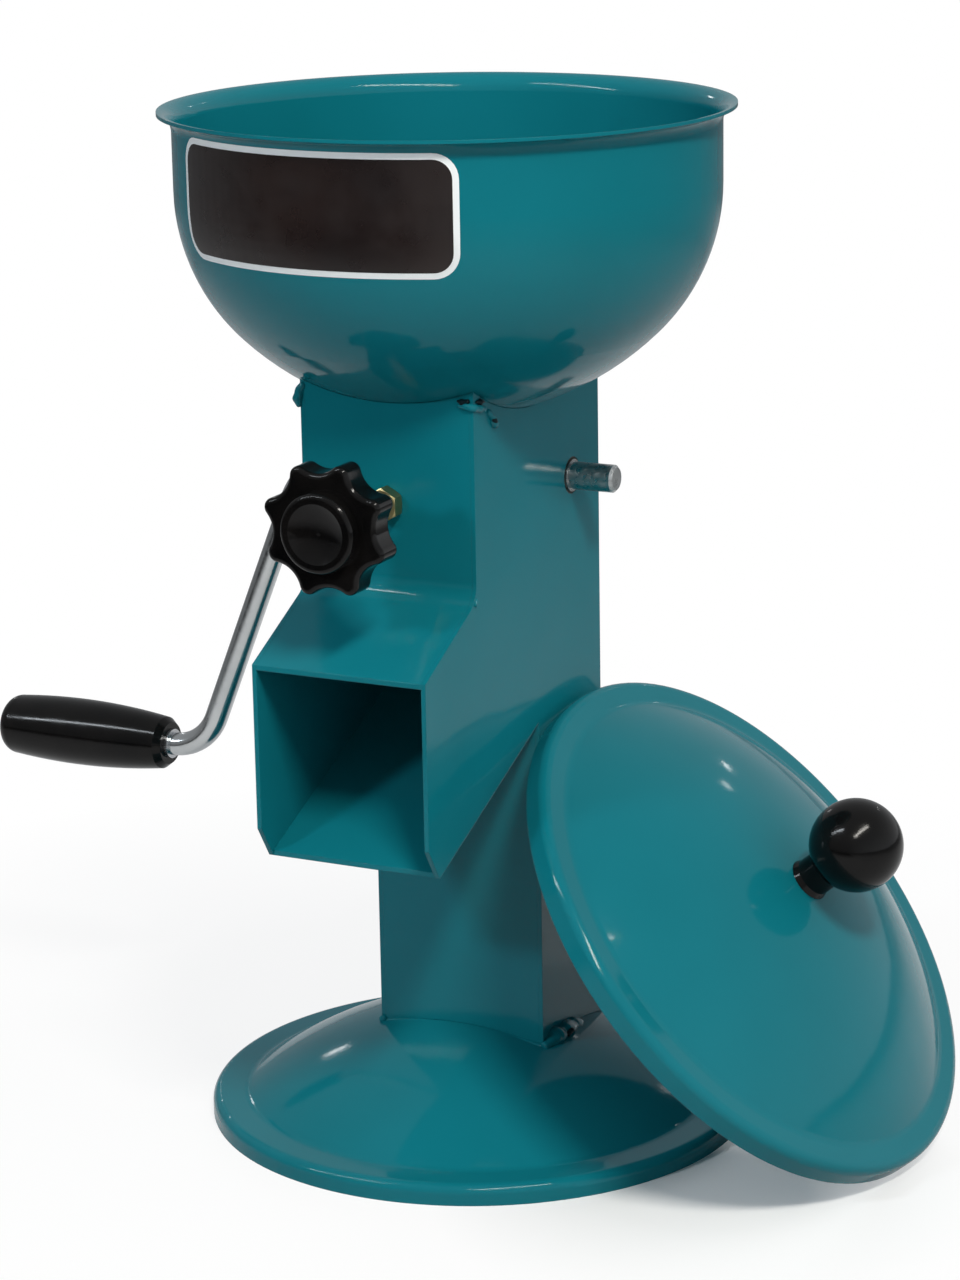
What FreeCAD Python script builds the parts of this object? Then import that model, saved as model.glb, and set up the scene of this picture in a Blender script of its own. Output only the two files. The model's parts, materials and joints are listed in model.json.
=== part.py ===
import FreeCAD, Part
import math
import os
import Sketcher

# Hand-cranked nut cracking machine, modelled in millimetres.
# Origin: centre of the round base's rim, on the floor. X runs along the front face,
# towards the free shaft end. Y runs from the chute to the back. Z is up.

DOC = FreeCAD.newDocument("nut_cracker")
SHEET = DOC.addObject("Spreadsheet::Sheet", "Sizes")

# Every driving size, written once. Lengths in millimetres, angles in degrees.
SIZES = {
    # column and chute, in sheet steel
    "column_width": 80,
    "column_depth": 120,
    "plate_thickness": 2,
    "hopper_offset": 15,
    "leg_depth": 63,
    "hood_fold_drop": 65,
    "hood_bend_radius": 12,
    "hood_reach": 47,
    "hood_drop": 23.5,
    "mouth_height": 70.5,
    "mouth_chamfer_run": 9,
    "mouth_chamfer_drop": 14,
    "leg_joint_drop": 132,
    "weld_gap": 0.1,
    # hopper bowl
    "overall_height": 447,
    "bowl_radius": 114.5,
    "bowl_wall": 1.5,
    "bowl_collar": 33,
    "bowl_side_inset": 29.5,
    "bowl_bottom_drop": 12,
    "lip_flare": 6,
    "throat_radius": 32,
    # pressed dishes: the base and the lid are the same kind of pressing
    "base_radius": 120,
    "lid_radius": 122,
    "dish_wall": 1.5,
    "dish_edge_radius": 4,
    "dish_blend": 6,
    "base_skirt": 9,
    "base_flange": 16,
    "base_rise": 34,
    "lid_skirt": 11,
    "lid_flange": 12.5,
    "lid_rise": 32,
    # drive shaft and its bushes
    "shaft_drop": 31,
    "shaft_radius": 7,
    "drive_end_radius": 6,
    "drive_end_length": 20.4,
    "drive_end_chamfer": 1.2,
    "crank_stub_length": 11.6,
    "running_gap": 0.05,
    "slip_gap": 0.02,
    "bush_radius": 8,
    "bush_set_back": 0.2,
    "bush_flange_radius": 13,
    "bush_flange": 2,
    "journal_stand_out": 0.6,
    # cracking drum
    "drum_radius": 24,
    "drum_flute_depth": 3,
    "drum_recess_radius": 18,
    "drum_hub_radius": 12,
    "drum_recess_depth": 14,
    "drum_side_gap": 0.5,
    "drum_back_gap": 1,
    "drum_pin_radius": 2,
    "cut_overrun": 1,
    # crank
    "socket_gap": 1,
    "socket_radius": 9.5,
    "rod_radius": 5.3,
    "rod_butt_gap": 0.3,
    "rod_insert": 10,
    "socket_screw_radius": 2.5,
    "socket_screw_sink": 0.3,
    "crank_corner_out": 89.3,
    "crank_throw": 144.2,
    "crank_outset": 58.9,
    "crank_top_bend": 37,
    "crank_low_bend": 25,
    "stop_radius": 6.8,
    "stop_thickness": 1.5,
    "stop_face_gap": 0.1,
    "grip_start": 18.9,
    "grip_length": 88.5,
    "grip_inner_radius": 12.1,
    "grip_outer_radius": 13.9,
    "grip_swell_radius": 322,
    "grip_nose_length": 3,
    "grip_nose_drop": 2.4,
    "grip_tail_round": 7,
    "grip_pocket_radius": 6,
    "grip_pocket_depth": 12,
    "grip_cap_thickness": 3,
    "grip_cap_gap": 0.1,
    "grip_end_float": 0.3,
    "washer_radius": 5.6,
    "washer_thickness": 1,
    "grip_screw_radius": 2.5,
    "grip_screw_head_radius": 4.2,
    "grip_screw_head": 3,
    "grip_screw_length": 12,
    # pressure jaw
    "jaw_front_gap": 4,
    "jaw_bowl_gap": 2.4,
    "jaw_rod_radius": 4,
    "jaw_knuckle_radius": 6,
    "jaw_width": 70,
    "jaw_face_reach": 26,
    "jaw_plate": 6,
    "jaw_slope_drop": 12,
    "jaw_length": 54,
    "jaw_rib_depth": 3,
    "jaw_rib_land": 1,
    # adjusting screw, star knob and lock nut
    "screw_drop": 27,
    "screw_radius": 3.95,
    "screw_thread_gap": 0.05,
    "screw_chamfer": 0.8,
    "boss_radius": 9,
    "boss_length": 9,
    "nut_flats": 13,
    "nut_thickness": 6.5,
    "nut_chamfer_run": 1,
    "nut_chamfer_drop": 0.6,
    "nut_face_gap": 0.1,
    "foot_contact_gap": 0.3,
    "foot_radius": 7,
    "foot_dome_radius": 10,
    "foot_body": 9,
    "foot_tip_radius": 2.5,
    "foot_tip_length": 6,
    "foot_seat_gap": 0.1,
    "foot_bottom_gap": 0.3,
    "knob_face_set": 62.5,
    "knob_radius": 28.2,
    "knob_flange": 14,
    "knob_boss_rise": 6,
    "knob_boss_radius": 16.5,
    "knob_dish_radius": 12.5,
    "knob_dish_depth": 3,
    "knob_rim_round": 2,
    "knob_lobe_radius": 4,
    "knob_scallop_radius": 12,
    "knob_edge_round": 2.2,
    "knob_lobe_turn": 26.5,
    "knob_hub_radius": 11,
    "knob_hub_length": 8,
    "insert_radius": 6.5,
    "insert_length": 18,
    # loose lid, leaning on the right side plate
    "lid_tilt": 40.8,
    "lid_heading": -3.3,
    "lid_contact_set": 28,
    "lid_lean_gap": 0.3,
    "lid_hole_radius": 3.2,
    "ball_radius": 20,
    "ball_height": 28.5,
    "ball_stem_radius": 8.7,
    "ball_base_radius": 9.6,
    "ball_base_height": 2.5,
    "ball_thread_depth": 18,
    "lid_screw_radius": 3,
    "lid_washer_radius": 9,
    "lid_washer_thickness": 1.2,
    "lid_screw_head_radius": 5,
    "lid_screw_head": 4,
}

# Counts of repeated features.
DRUM_FLUTES = 20
KNOB_LOBES = 8
JAW_RIBS = 7
HEX_SIDES = 6
FULL_TURN = 360


def fill_sheet():
    """Write each size to its own row and give its cell the size's name."""
    for row, (name, value) in enumerate(SIZES.items(), start=1):
        SHEET.set("A%d" % row, name)
        SHEET.set("B%d" % row, str(value))
        SHEET.setAlias("B%d" % row, name)
    DOC.recompute()


class Size:
    """A size that carries its value and the sheet formula that gives it."""

    def __init__(self, value, formula):
        self.value = float(value)
        self.formula = formula

    def __add__(self, other):
        other = as_size(other)
        return Size(self.value + other.value, "(%s + %s)" % (self.formula, other.formula))

    def __sub__(self, other):
        other = as_size(other)
        return Size(self.value - other.value, "(%s - %s)" % (self.formula, other.formula))

    def __mul__(self, other):
        other = as_size(other)
        return Size(self.value * other.value, "(%s * %s)" % (self.formula, other.formula))

    def __truediv__(self, other):
        other = as_size(other)
        return Size(self.value / other.value, "(%s / %s)" % (self.formula, other.formula))

    def __neg__(self):
        return Size(-self.value, "(-1 * %s)" % self.formula)


def as_size(thing):
    if isinstance(thing, Size):
        return thing
    return Size(thing, repr(thing))


def root(square):
    return Size(math.sqrt(square.value), "sqrt(%s)" % square.formula)


def sine(angle):
    return Size(math.sin(math.radians(angle.value)), "sin(%s * 1 deg)" % angle.formula)


def cosine(angle):
    return Size(math.cos(math.radians(angle.value)), "cos(%s * 1 deg)" % angle.formula)


def size(name):
    return Size(SIZES[name], "Sizes." + name)


ZERO = Size(0, "0")
ONE = Size(1, "1")


def bind(thing, prop, value):
    """Set a property and tie it to its sheet formula."""
    setattr(thing, prop, value.value)
    thing.setExpression(prop, value.formula)


def body(name):
    piece = DOC.addObject("PartDesign::Body", name)
    piece.Label = name
    return piece


def plane_of(piece, role):
    for feature in piece.Origin.OriginFeatures:
        if feature.Role == role:
            return feature
    raise ValueError("no plane " + role)


def new_sketch(piece, name, role):
    sketch = piece.newObject("Sketcher::SketchObject", name)
    sketch.AttachmentSupport = [(plane_of(piece, role), "")]
    sketch.MapMode = "FlatFace"
    return sketch


def pin_coordinate(sketch, kind, geometry, end, value):
    """Hold one coordinate of a point at a sheet formula, measured from the origin."""
    if value.formula == ZERO.formula:
        axis = -2 if kind == "DistanceX" else -1
        sketch.addConstraint(Sketcher.Constraint("PointOnObject", geometry, end, axis))
        return
    if value.value < 0:
        number = sketch.addConstraint(
            Sketcher.Constraint(kind, geometry, end, -1, 1, -value.value))
        sketch.setExpression("Constraints[%d]" % number, (-value).formula)
        return
    number = sketch.addConstraint(Sketcher.Constraint(kind, -1, 1, geometry, end, value.value))
    sketch.setExpression("Constraints[%d]" % number, value.formula)


def arc_middle(start, end, radius, turn):
    """Middle of the minor arc from start to end, counter-clockwise when turn is +1."""
    chord = end - start
    half = chord.Length / 2
    rise = math.sqrt(max(radius * radius - half * half, 0.0))
    side = FreeCAD.Vector(-chord.y, chord.x, 0).normalize() * turn
    return start + chord * 0.5 + side * (rise - radius)


def add_spans(sketch, points, closed):
    """Draw each line or arc and return its number with its first and last point."""
    corners = [FreeCAD.Vector(point[0].value, point[1].value, 0) for point in points]
    count = len(points)
    spans = []
    for index in range(count if closed else count - 1):
        target = (index + 1) % count
        start, end = corners[index], corners[target]
        goal = points[target]
        if len(goal) == 2:
            number = sketch.addGeometry(Part.LineSegment(start, end), False)
            spans.append((number, 1, 2))
            continue
        middle = arc_middle(start, end, goal[2].value, goal[3])
        number = sketch.addGeometry(Part.Arc(start, middle, end), False)
        spans.append((number, 1, 2) if goal[3] > 0 else (number, 2, 1))
    return spans


def draw_path(sketch, points, closed=True):
    """Hold a path of lines and arcs to the sheet.

    A point is (x, y), or (x, y, radius, turn) when an arc ends there.
    """
    spans = add_spans(sketch, points, closed)
    for index, (number, first, last) in enumerate(spans):
        goal = points[(index + 1) % len(points)]
        if closed or index + 1 < len(spans):
            following = spans[(index + 1) % len(spans)]
            sketch.addConstraint(
                Sketcher.Constraint("Coincident", number, last, following[0], following[1]))
        pin_coordinate(sketch, "DistanceX", number, first, points[index][0])
        pin_coordinate(sketch, "DistanceY", number, first, points[index][1])
        if len(goal) == 4:
            held = sketch.addConstraint(Sketcher.Constraint("Radius", number, goal[2].value))
            sketch.setExpression("Constraints[%d]" % held, goal[2].formula)
    if not closed:
        number, _, last = spans[-1]
        pin_coordinate(sketch, "DistanceX", number, last, points[-1][0])
        pin_coordinate(sketch, "DistanceY", number, last, points[-1][1])


def draw_circle(sketch, x, y, radius):
    centre = FreeCAD.Vector(x.value, y.value, 0)
    number = sketch.addGeometry(Part.Circle(centre, FreeCAD.Vector(0, 0, 1), radius.value), False)
    pin_coordinate(sketch, "DistanceX", number, 3, x)
    pin_coordinate(sketch, "DistanceY", number, 3, y)
    held = sketch.addConstraint(Sketcher.Constraint("Radius", number, radius.value))
    sketch.setExpression("Constraints[%d]" % held, radius.formula)


def place(piece, x, y, z, rotation=None):
    """Put a piece at a place that the sheet gives."""
    spot = FreeCAD.Vector(x.value, y.value, z.value)
    piece.Placement = FreeCAD.Placement(spot, rotation or FreeCAD.Rotation())
    for axis, value in (("x", x), ("y", y), ("z", z)):
        piece.setExpression("Placement.Base." + axis, value.formula)
    return piece


# Turns the local Z axis of a turned piece to +X, -X, +Y or -Y.
TO_RIGHT = FreeCAD.Rotation(FreeCAD.Vector(0, 1, 0), 90)
TO_LEFT = FreeCAD.Rotation(FreeCAD.Vector(0, 1, 0), -90)
TO_BACK = FreeCAD.Rotation(FreeCAD.Vector(1, 0, 0), -90)
TO_FRONT = FreeCAD.Rotation(FreeCAD.Vector(1, 0, 0), 90)


def revolve(piece, name, outline, kind="PartDesign::Revolution"):
    """Turn an outline of (radius, height) points about the piece's Z axis."""
    sketch = new_sketch(piece, name + "_profile", "XZ_Plane")
    draw_path(sketch, outline)
    turn = piece.newObject(kind, name)
    turn.Profile = sketch
    turn.ReferenceAxis = (sketch, ["V_Axis"])
    turn.Angle = FULL_TURN
    piece.Tip = turn
    return turn


def turned(name, outline):
    piece = body(name)
    revolve(piece, name + "_turn", outline)
    return piece


def bore(piece, name, outline):
    """Cut a revolved outline out of a piece, and make sure that it cut."""
    DOC.recompute()
    before = piece.Shape.Volume
    revolve(piece, name, outline, "PartDesign::Groove")
    DOC.recompute()
    check_cut(piece, name, before)


def check_cut(piece, name, before):
    if not piece.Shape.Volume < before:
        raise RuntimeError("nothing was cut by " + name)


def pad(piece, name, role, paths, thickness, symmetric=False, circles=()):
    sketch = new_sketch(piece, name + "_outline", role)
    for path in paths:
        draw_path(sketch, path)
    for x, y, radius in circles:
        draw_circle(sketch, x, y, radius)
    feature = piece.newObject("PartDesign::Pad", name)
    feature.Profile = sketch
    if symmetric:
        feature.SideType = "Symmetric"
    bind(feature, "Length", thickness)
    piece.Tip = feature
    return feature


def drill(piece, name, role, circles, both_ways=True):
    """Cut round holes through a piece, square to one of its planes."""
    DOC.recompute()
    before = piece.Shape.Volume
    sketch = new_sketch(piece, name + "_circles", role)
    for x, y, radius in circles:
        draw_circle(sketch, x, y, radius)
    feature = piece.newObject("PartDesign::Pocket", name)
    feature.Profile = sketch
    if both_ways:
        feature.SideType = "Symmetric"
    feature.Type = "ThroughAll"
    piece.Tip = feature
    DOC.recompute()
    check_cut(piece, name, before)
    return feature


def nearest_edges(shape, spots):
    """Names of the edges whose middles lie nearest to the given places."""
    names = []
    for spot in spots:
        gaps = [(edge.CenterOfMass - spot).Length for edge in shape.Edges]
        names.append("Edge%d" % (gaps.index(min(gaps)) + 1))
    return names


def round_edges(piece, name, edge_names, radius):
    base = piece.Tip
    feature = piece.newObject("PartDesign::Fillet", name)
    feature.Base = (base, edge_names)
    bind(feature, "Radius", radius)
    piece.Tip = feature
    DOC.recompute()
    return feature


def cut_with(name, blank, tools):
    """Take each tool away from a blank in turn. The last cut carries the node's name."""
    result = blank
    for tool in tools:
        cut = DOC.addObject("Part::Cut", name + "_cut")
        cut.Base = result
        cut.Tool = tool
        result = cut
    result.Label = name
    return result


def polar(radius, angle):
    return (radius * cosine(angle), radius * sine(angle))


def length(*sides):
    """Length of the straight line that has these sides."""
    total = ZERO
    for side in sides:
        total = total + side * side
    return root(total)


def cap_radius(name):
    """Sphere radius of a dish's cap, from the cap's rim radius and rise."""
    rise = size(name + "_rise")
    chord = size(name + "_radius") - size(name + "_flange")
    return (chord * chord + rise * rise) / (rise * 2)


def sphere_height(radius, centre, r):
    return centre + root(radius * radius - r * r)


class Bowl:
    """Radii and centres of the two arcs that make the bowl's outer side."""

    wall = size("bowl_wall")
    radius = size("bowl_radius")
    shoulder = size("overall_height") - size("bowl_collar")
    inset = size("bowl_side_inset")
    side = radius - inset
    depth = side + size("bowl_bottom_drop")
    lowest = shoulder - depth
    bottom = (inset * inset + depth * depth - side * side) / (size("bowl_bottom_drop") * 2)
    centre = lowest + bottom
    out_share = inset / (bottom - side)
    down_share = (bottom - depth) / (bottom - side)

    @classmethod
    def tangent(cls, grow):
        """Where the side arc meets the bottom arc, with both arcs grown by an amount."""
        reach = cls.bottom + grow
        return cls.out_share * reach, cls.centre - cls.down_share * reach

    @classmethod
    def bottom_height(cls, r, grow):
        reach = cls.bottom + grow
        return cls.centre - root(reach * reach - r * r)


# Shared places, all worked out from the sheet

HALF_WIDTH = size("column_width") / 2
PLATE = size("plate_thickness")
INNER_HALF = HALF_WIDTH - PLATE
INNER_WIDTH = size("column_width") - PLATE * 2
AXIS_Y = -size("hopper_offset")
FRONT_Y = AXIS_Y - size("column_depth") / 2
BACK_Y = AXIS_Y + size("column_depth") / 2
LEG_FRONT_Y = BACK_Y - size("leg_depth")
FOLD_Z = Bowl.lowest - size("hood_fold_drop")
LEG_JOINT_Z = Bowl.lowest - size("leg_joint_drop")
MOUTH_Y = FRONT_Y - size("hood_reach")
MOUTH_TOP_Z = FOLD_Z - size("hood_drop")
MOUTH_LOW_Z = MOUTH_TOP_Z - size("mouth_height")
TIP_Y = MOUTH_Y + size("mouth_chamfer_run")
TIP_Z = MOUTH_LOW_Z - size("mouth_chamfer_drop")
FLOOR_SLOPE = (LEG_JOINT_Z - TIP_Z) / (LEG_FRONT_Y - TIP_Y)
HOOD_SLOPE = size("hood_drop") / size("hood_reach")
SHAFT_Y = BACK_Y - PLATE - size("drum_back_gap") - size("drum_radius")
SHAFT_Z = Bowl.lowest - size("shaft_drop")
SHOULDER_X = HALF_WIDTH + size("journal_stand_out")
STUB_END_X = -SHOULDER_X - size("crank_stub_length")
HINGE_Y = FRONT_Y + PLATE + size("jaw_front_gap") + size("jaw_knuckle_radius")
HINGE_Z = Bowl.bottom_height(AXIS_Y - HINGE_Y, ZERO) - size("jaw_bowl_gap") - size("jaw_knuckle_radius")
SCREW_Z = Bowl.lowest - size("screw_drop")
BASE_TOP = size("base_skirt") + size("base_rise")
LID_TOP = size("lid_skirt") + size("lid_rise")
TOP_CORNER = length(HALF_WIDTH, size("column_depth") / 2)
PLATE_TOP_Z = Bowl.bottom_height(TOP_CORNER, ZERO) + size("cut_overrun")
FOOT_CORNER = length(HALF_WIDTH, BACK_Y)
DOME_CENTRE_Z = BASE_TOP - cap_radius("base")
FOOT_LOW_Z = sphere_height(cap_radius("base"), DOME_CENTRE_Z, FOOT_CORNER) - size("cut_overrun")


def dish(name, hole_radius):
    """Pressed dish: an upright skirt, a flat flange and a cap that flows into the flange."""
    rim = size(name + "_radius")
    skirt = size(name + "_skirt")
    wall = size("dish_wall")
    edge = size("dish_edge_radius")
    blend = size("dish_blend")
    top = skirt + size(name + "_rise")
    radius = cap_radius(name)
    centre = top - radius
    lift = skirt + blend - centre
    blend_r = root((radius + blend) * (radius + blend) - lift * lift)
    share = radius / (radius + blend)
    under_share = (radius - wall) / (radius + blend)
    under = skirt - wall
    under_top = top - wall
    if hole_radius is not ZERO:
        top = sphere_height(radius, centre, hole_radius)
        under_top = sphere_height(radius - wall, centre, hole_radius)
    return turned(name + "_dish", [
        (rim - wall, ZERO),
        (rim, ZERO),
        (rim, skirt - edge),
        (rim - edge, skirt, edge, 1),
        (blend_r, skirt),
        (blend_r * share, centre + lift * share, blend, -1),
        (hole_radius, top, radius, 1),
        (hole_radius, under_top),
        (blend_r * under_share, centre + lift * under_share, radius - wall, -1),
        (blend_r, under, blend + wall, 1),
        (rim - edge, under),
        (rim - wall, skirt - edge, edge - wall, -1),
    ])


def hopper_bowl():
    wall = Bowl.wall
    flare = size("lip_flare")
    throat = size("throat_radius")
    lip = size("overall_height") - flare - wall
    out_x, out_z = Bowl.tangent(ZERO)
    in_x, in_z = Bowl.tangent(-wall)
    return place(turned("hopper_bowl", [
        (throat, Bowl.bottom_height(throat, ZERO)),
        (out_x, out_z, Bowl.bottom, 1),
        (Bowl.radius, Bowl.shoulder, Bowl.side, 1),
        (Bowl.radius, lip),
        (Bowl.radius + flare, lip + flare, flare, -1),
        (Bowl.radius + flare, size("overall_height")),
        (Bowl.radius - wall, lip, flare + wall, 1),
        (Bowl.radius - wall, Bowl.shoulder),
        (in_x, in_z, Bowl.side - wall, -1),
        (throat, Bowl.bottom_height(throat, -wall), Bowl.bottom - wall, -1),
    ]), ZERO, AXIS_Y, ZERO)


def bowl_space():
    """The bowl's outer form as a solid, a weld gap larger, to shape the plates' tops."""
    gap = size("weld_gap")
    x, z = Bowl.tangent(gap)
    return place(turned("bowl_space", [
        (ZERO, Bowl.centre - Bowl.bottom - gap),
        (x, z, Bowl.bottom + gap, 1),
        (Bowl.radius + gap, Bowl.shoulder, Bowl.side + gap, 1),
        (ZERO, Bowl.shoulder),
    ]), ZERO, AXIS_Y, ZERO)


def dome_space():
    """The base's cap as a whole ball, a weld gap larger, to shape the plates' feet."""
    ball = DOC.addObject("Part::Sphere", "dome_space")
    bind(ball, "Radius", cap_radius("base") + size("weld_gap"))
    return place(ball, ZERO, ZERO, DOME_CENTRE_Z)


def side_plate(name, inner_x, spaces):
    """One sheet from the bowl to the base, with the chute's cheek in its outline."""
    plate = body(name + "_blank")
    outline = [
        (FRONT_Y, PLATE_TOP_Z),
        (FRONT_Y, FOLD_Z),
        (MOUTH_Y, MOUTH_TOP_Z),
        (MOUTH_Y, MOUTH_LOW_Z),
        (TIP_Y, TIP_Z),
        (LEG_FRONT_Y, LEG_JOINT_Z),
        (LEG_FRONT_Y, FOOT_LOW_Z),
        (BACK_Y, FOOT_LOW_Z),
        (BACK_Y, PLATE_TOP_Z),
    ]
    seat = (SHAFT_Y, SHAFT_Z, size("bush_radius") + size("slip_gap"))
    pad(plate, name + "_sheet", "YZ_Plane", [outline], PLATE, circles=[seat])
    DOC.recompute()
    fold = FreeCAD.Vector(PLATE.value / 2, FRONT_Y.value, FOLD_Z.value)
    round_edges(plate, name + "_fold", nearest_edges(plate.Shape, [fold]), size("hood_bend_radius"))
    place(plate, inner_x, ZERO, ZERO)
    return cut_with(name, plate, spaces)


def sheet_between_sides(name, outline):
    plate = body(name)
    pad(plate, name + "_sheet", "YZ_Plane", [outline], INNER_WIDTH, symmetric=True)
    return plate


def front_plate(spaces):
    """Upright front sheet, bent forward at its foot into the chute's sloping hood."""
    drop = PLATE * length(ONE, HOOD_SLOPE)
    plate = sheet_between_sides("front_plate_blank", [
        (FRONT_Y, PLATE_TOP_Z),
        (FRONT_Y, FOLD_Z),
        (MOUTH_Y, MOUTH_TOP_Z),
        (MOUTH_Y, MOUTH_TOP_Z - drop),
        (FRONT_Y + PLATE, FOLD_Z + HOOD_SLOPE * PLATE - drop),
        (FRONT_Y + PLATE, PLATE_TOP_Z),
    ])
    DOC.recompute()
    outer = FreeCAD.Vector(0, FRONT_Y.value, FOLD_Z.value)
    bend = size("hood_bend_radius")
    round_edges(plate, "outer_bend", nearest_edges(plate.Shape, [outer]), bend)
    inner = FreeCAD.Vector(0, (FRONT_Y + PLATE).value, (FOLD_Z + HOOD_SLOPE * PLATE - drop).value)
    round_edges(plate, "inner_bend", nearest_edges(plate.Shape, [inner]), bend + PLATE)
    hole = (ZERO, SCREW_Z, size("screw_radius") + size("screw_thread_gap"))
    drill(plate, "screw_hole", "XZ_Plane", [hole])
    return cut_with("front_plate", plate, spaces)


def back_plate(spaces):
    plate = sheet_between_sides("back_plate_blank", [
        (BACK_Y - PLATE, FOOT_LOW_Z),
        (BACK_Y, FOOT_LOW_Z),
        (BACK_Y, PLATE_TOP_Z),
        (BACK_Y - PLATE, PLATE_TOP_Z),
    ])
    return cut_with("back_plate", plate, spaces)


def chute_floor():
    """Straight sloping sheet from the back plate down to the mouth's tip."""
    lift = PLATE * length(ONE, FLOOR_SLOPE)
    end = BACK_Y - PLATE
    end_z = TIP_Z + FLOOR_SLOPE * (end - TIP_Y)
    return sheet_between_sides("chute_floor", [
        (TIP_Y, TIP_Z),
        (end, end_z),
        (end, end_z + lift),
        (TIP_Y, TIP_Z + lift),
    ])


def leg_front_plate(space):
    plate = sheet_between_sides("leg_front_blank", [
        (LEG_FRONT_Y, FOOT_LOW_Z),
        (LEG_FRONT_Y + PLATE, FOOT_LOW_Z),
        (LEG_FRONT_Y + PLATE, LEG_JOINT_Z + FLOOR_SLOPE * PLATE),
        (LEG_FRONT_Y, LEG_JOINT_Z),
    ])
    return cut_with("leg_front_plate", plate, [space])


def shaft_bush(name, side, turn):
    """Flanged bush: its flange lies inside the plate and its nose ends just inside the face."""
    run = size("shaft_radius") + size("running_gap")
    nose = size("bush_flange") + PLATE - size("bush_set_back")
    piece = turned(name, [
        (run, ZERO),
        (size("bush_flange_radius"), ZERO),
        (size("bush_flange_radius"), size("bush_flange")),
        (size("bush_radius"), size("bush_flange")),
        (size("bush_radius"), nose),
        (run, nose),
    ])
    start = INNER_HALF - size("bush_flange")
    return place(piece, start * side, SHAFT_Y, SHAFT_Z, turn)


def drive_shaft():
    """Stepped shaft: crank stub on the left, journal in the middle, free drive end."""
    chamfer = size("drive_end_chamfer")
    thin = size("drive_end_radius")
    end = SHOULDER_X + size("drive_end_length")
    piece = turned("drive_shaft", [
        (ZERO, STUB_END_X),
        (thin, STUB_END_X),
        (thin, -SHOULDER_X),
        (size("shaft_radius"), -SHOULDER_X),
        (size("shaft_radius"), SHOULDER_X),
        (thin, SHOULDER_X),
        (thin, end - chamfer),
        (thin - chamfer, end),
        (ZERO, end),
    ])
    drill(piece, "shaft_pin_hole", "XZ_Plane", [(ZERO, ZERO, size("drum_pin_radius") + size("slip_gap"))])
    return place(piece, ZERO, SHAFT_Y, SHAFT_Z, TO_RIGHT)


def cracking_drum():
    """Turned drum with recessed ends and saw-tooth flutes milled along its whole length."""
    radius = size("drum_radius")
    depth = size("drum_flute_depth")
    run = size("shaft_radius") + size("slip_gap")
    half = INNER_HALF - size("bush_flange") - size("drum_side_gap")
    recess = half - size("drum_recess_depth")
    piece = turned("cracking_drum", [
        (run, -half),
        (size("drum_hub_radius"), -half),
        (size("drum_hub_radius"), -recess),
        (size("drum_recess_radius"), -recess),
        (size("drum_recess_radius"), -half),
        (radius, -half),
        (radius, half),
        (size("drum_recess_radius"), half),
        (size("drum_recess_radius"), recess),
        (size("drum_hub_radius"), recess),
        (size("drum_hub_radius"), half),
        (run, half),
    ])
    over = size("cut_overrun")
    flute_share = Size(0.72, "0.72")
    pitch = radius * (2 * math.pi / DRUM_FLUTES)
    width = pitch * flute_share * (depth + over) / depth
    DOC.recompute()
    before = piece.Shape.Volume
    sketch = new_sketch(piece, "flute_outline", "XY_Plane")
    draw_path(sketch, [(radius - depth, ZERO), (radius + over, ZERO), (radius + over, width)])
    flute = piece.newObject("PartDesign::Pocket", "flute")
    flute.Profile = sketch
    flute.SideType = "Symmetric"
    flute.Type = "ThroughAll"
    flutes = piece.newObject("PartDesign::PolarPattern", "flutes")
    flutes.Originals = [flute]
    flutes.Axis = (plane_of(piece, "Z_Axis"), [""])
    flutes.Angle = FULL_TURN
    flutes.Occurrences = DRUM_FLUTES
    piece.Tip = flutes
    DOC.recompute()
    check_cut(piece, "flutes", before)
    drill(piece, "drum_pin_hole", "XZ_Plane", [(ZERO, ZERO, size("drum_pin_radius") + size("slip_gap"))])
    return place(piece, ZERO, SHAFT_Y, SHAFT_Z, TO_RIGHT)


def drum_pin():
    half = size("drum_radius") - size("drum_flute_depth")
    radius = size("drum_pin_radius")
    piece = turned("drum_pin", [(ZERO, -half), (radius, -half), (radius, half), (ZERO, half)])
    return place(piece, ZERO, SHAFT_Y, SHAFT_Z, TO_BACK)


ROD_START_X = STUB_END_X - size("rod_butt_gap")
SOCKET_END_X = ROD_START_X - size("rod_insert")
SOCKET_START_X = -SHOULDER_X - size("socket_gap")
SOCKET_SCREW_XS = (
    (STUB_END_X + SOCKET_START_X) / 2,
    (ROD_START_X + SOCKET_END_X) / 2,
)


def crank_socket():
    """Sleeve that joins the crank rod to the shaft's stub, with two grub screws on top."""
    stub = size("drive_end_radius") + size("slip_gap")
    rod = size("rod_radius") + size("slip_gap")
    step = STUB_END_X - size("rod_butt_gap") / 2
    piece = turned("crank_socket", [
        (stub, SOCKET_START_X),
        (stub, step),
        (rod, step),
        (rod, SOCKET_END_X),
        (size("socket_radius"), SOCKET_END_X),
        (size("socket_radius"), SOCKET_START_X),
    ])
    hole = size("socket_screw_radius") + size("slip_gap")
    circles = [(ZERO, x, hole) for x in SOCKET_SCREW_XS]
    drill(piece, "socket_screw_holes", "YZ_Plane", circles, both_ways=False)
    return place(piece, ZERO, SHAFT_Y, SHAFT_Z, TO_RIGHT)


def socket_screws():
    top = size("socket_radius") - size("socket_screw_sink")
    screws = []
    for number, radius in enumerate(("drive_end_radius", "rod_radius"), start=1):
        floor = size(radius) + size("slip_gap")
        screw = DOC.addObject("Part::Cylinder", "grub_screw_%d" % number)
        bind(screw, "Radius", size("socket_screw_radius"))
        bind(screw, "Height", top - floor)
        place(screw, SOCKET_SCREW_XS[number - 1], SHAFT_Y, SHAFT_Z + floor)
        screws.append(screw)
    group = DOC.addObject("Part::Compound", "socket_screws")
    group.Links = screws
    return group


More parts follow.
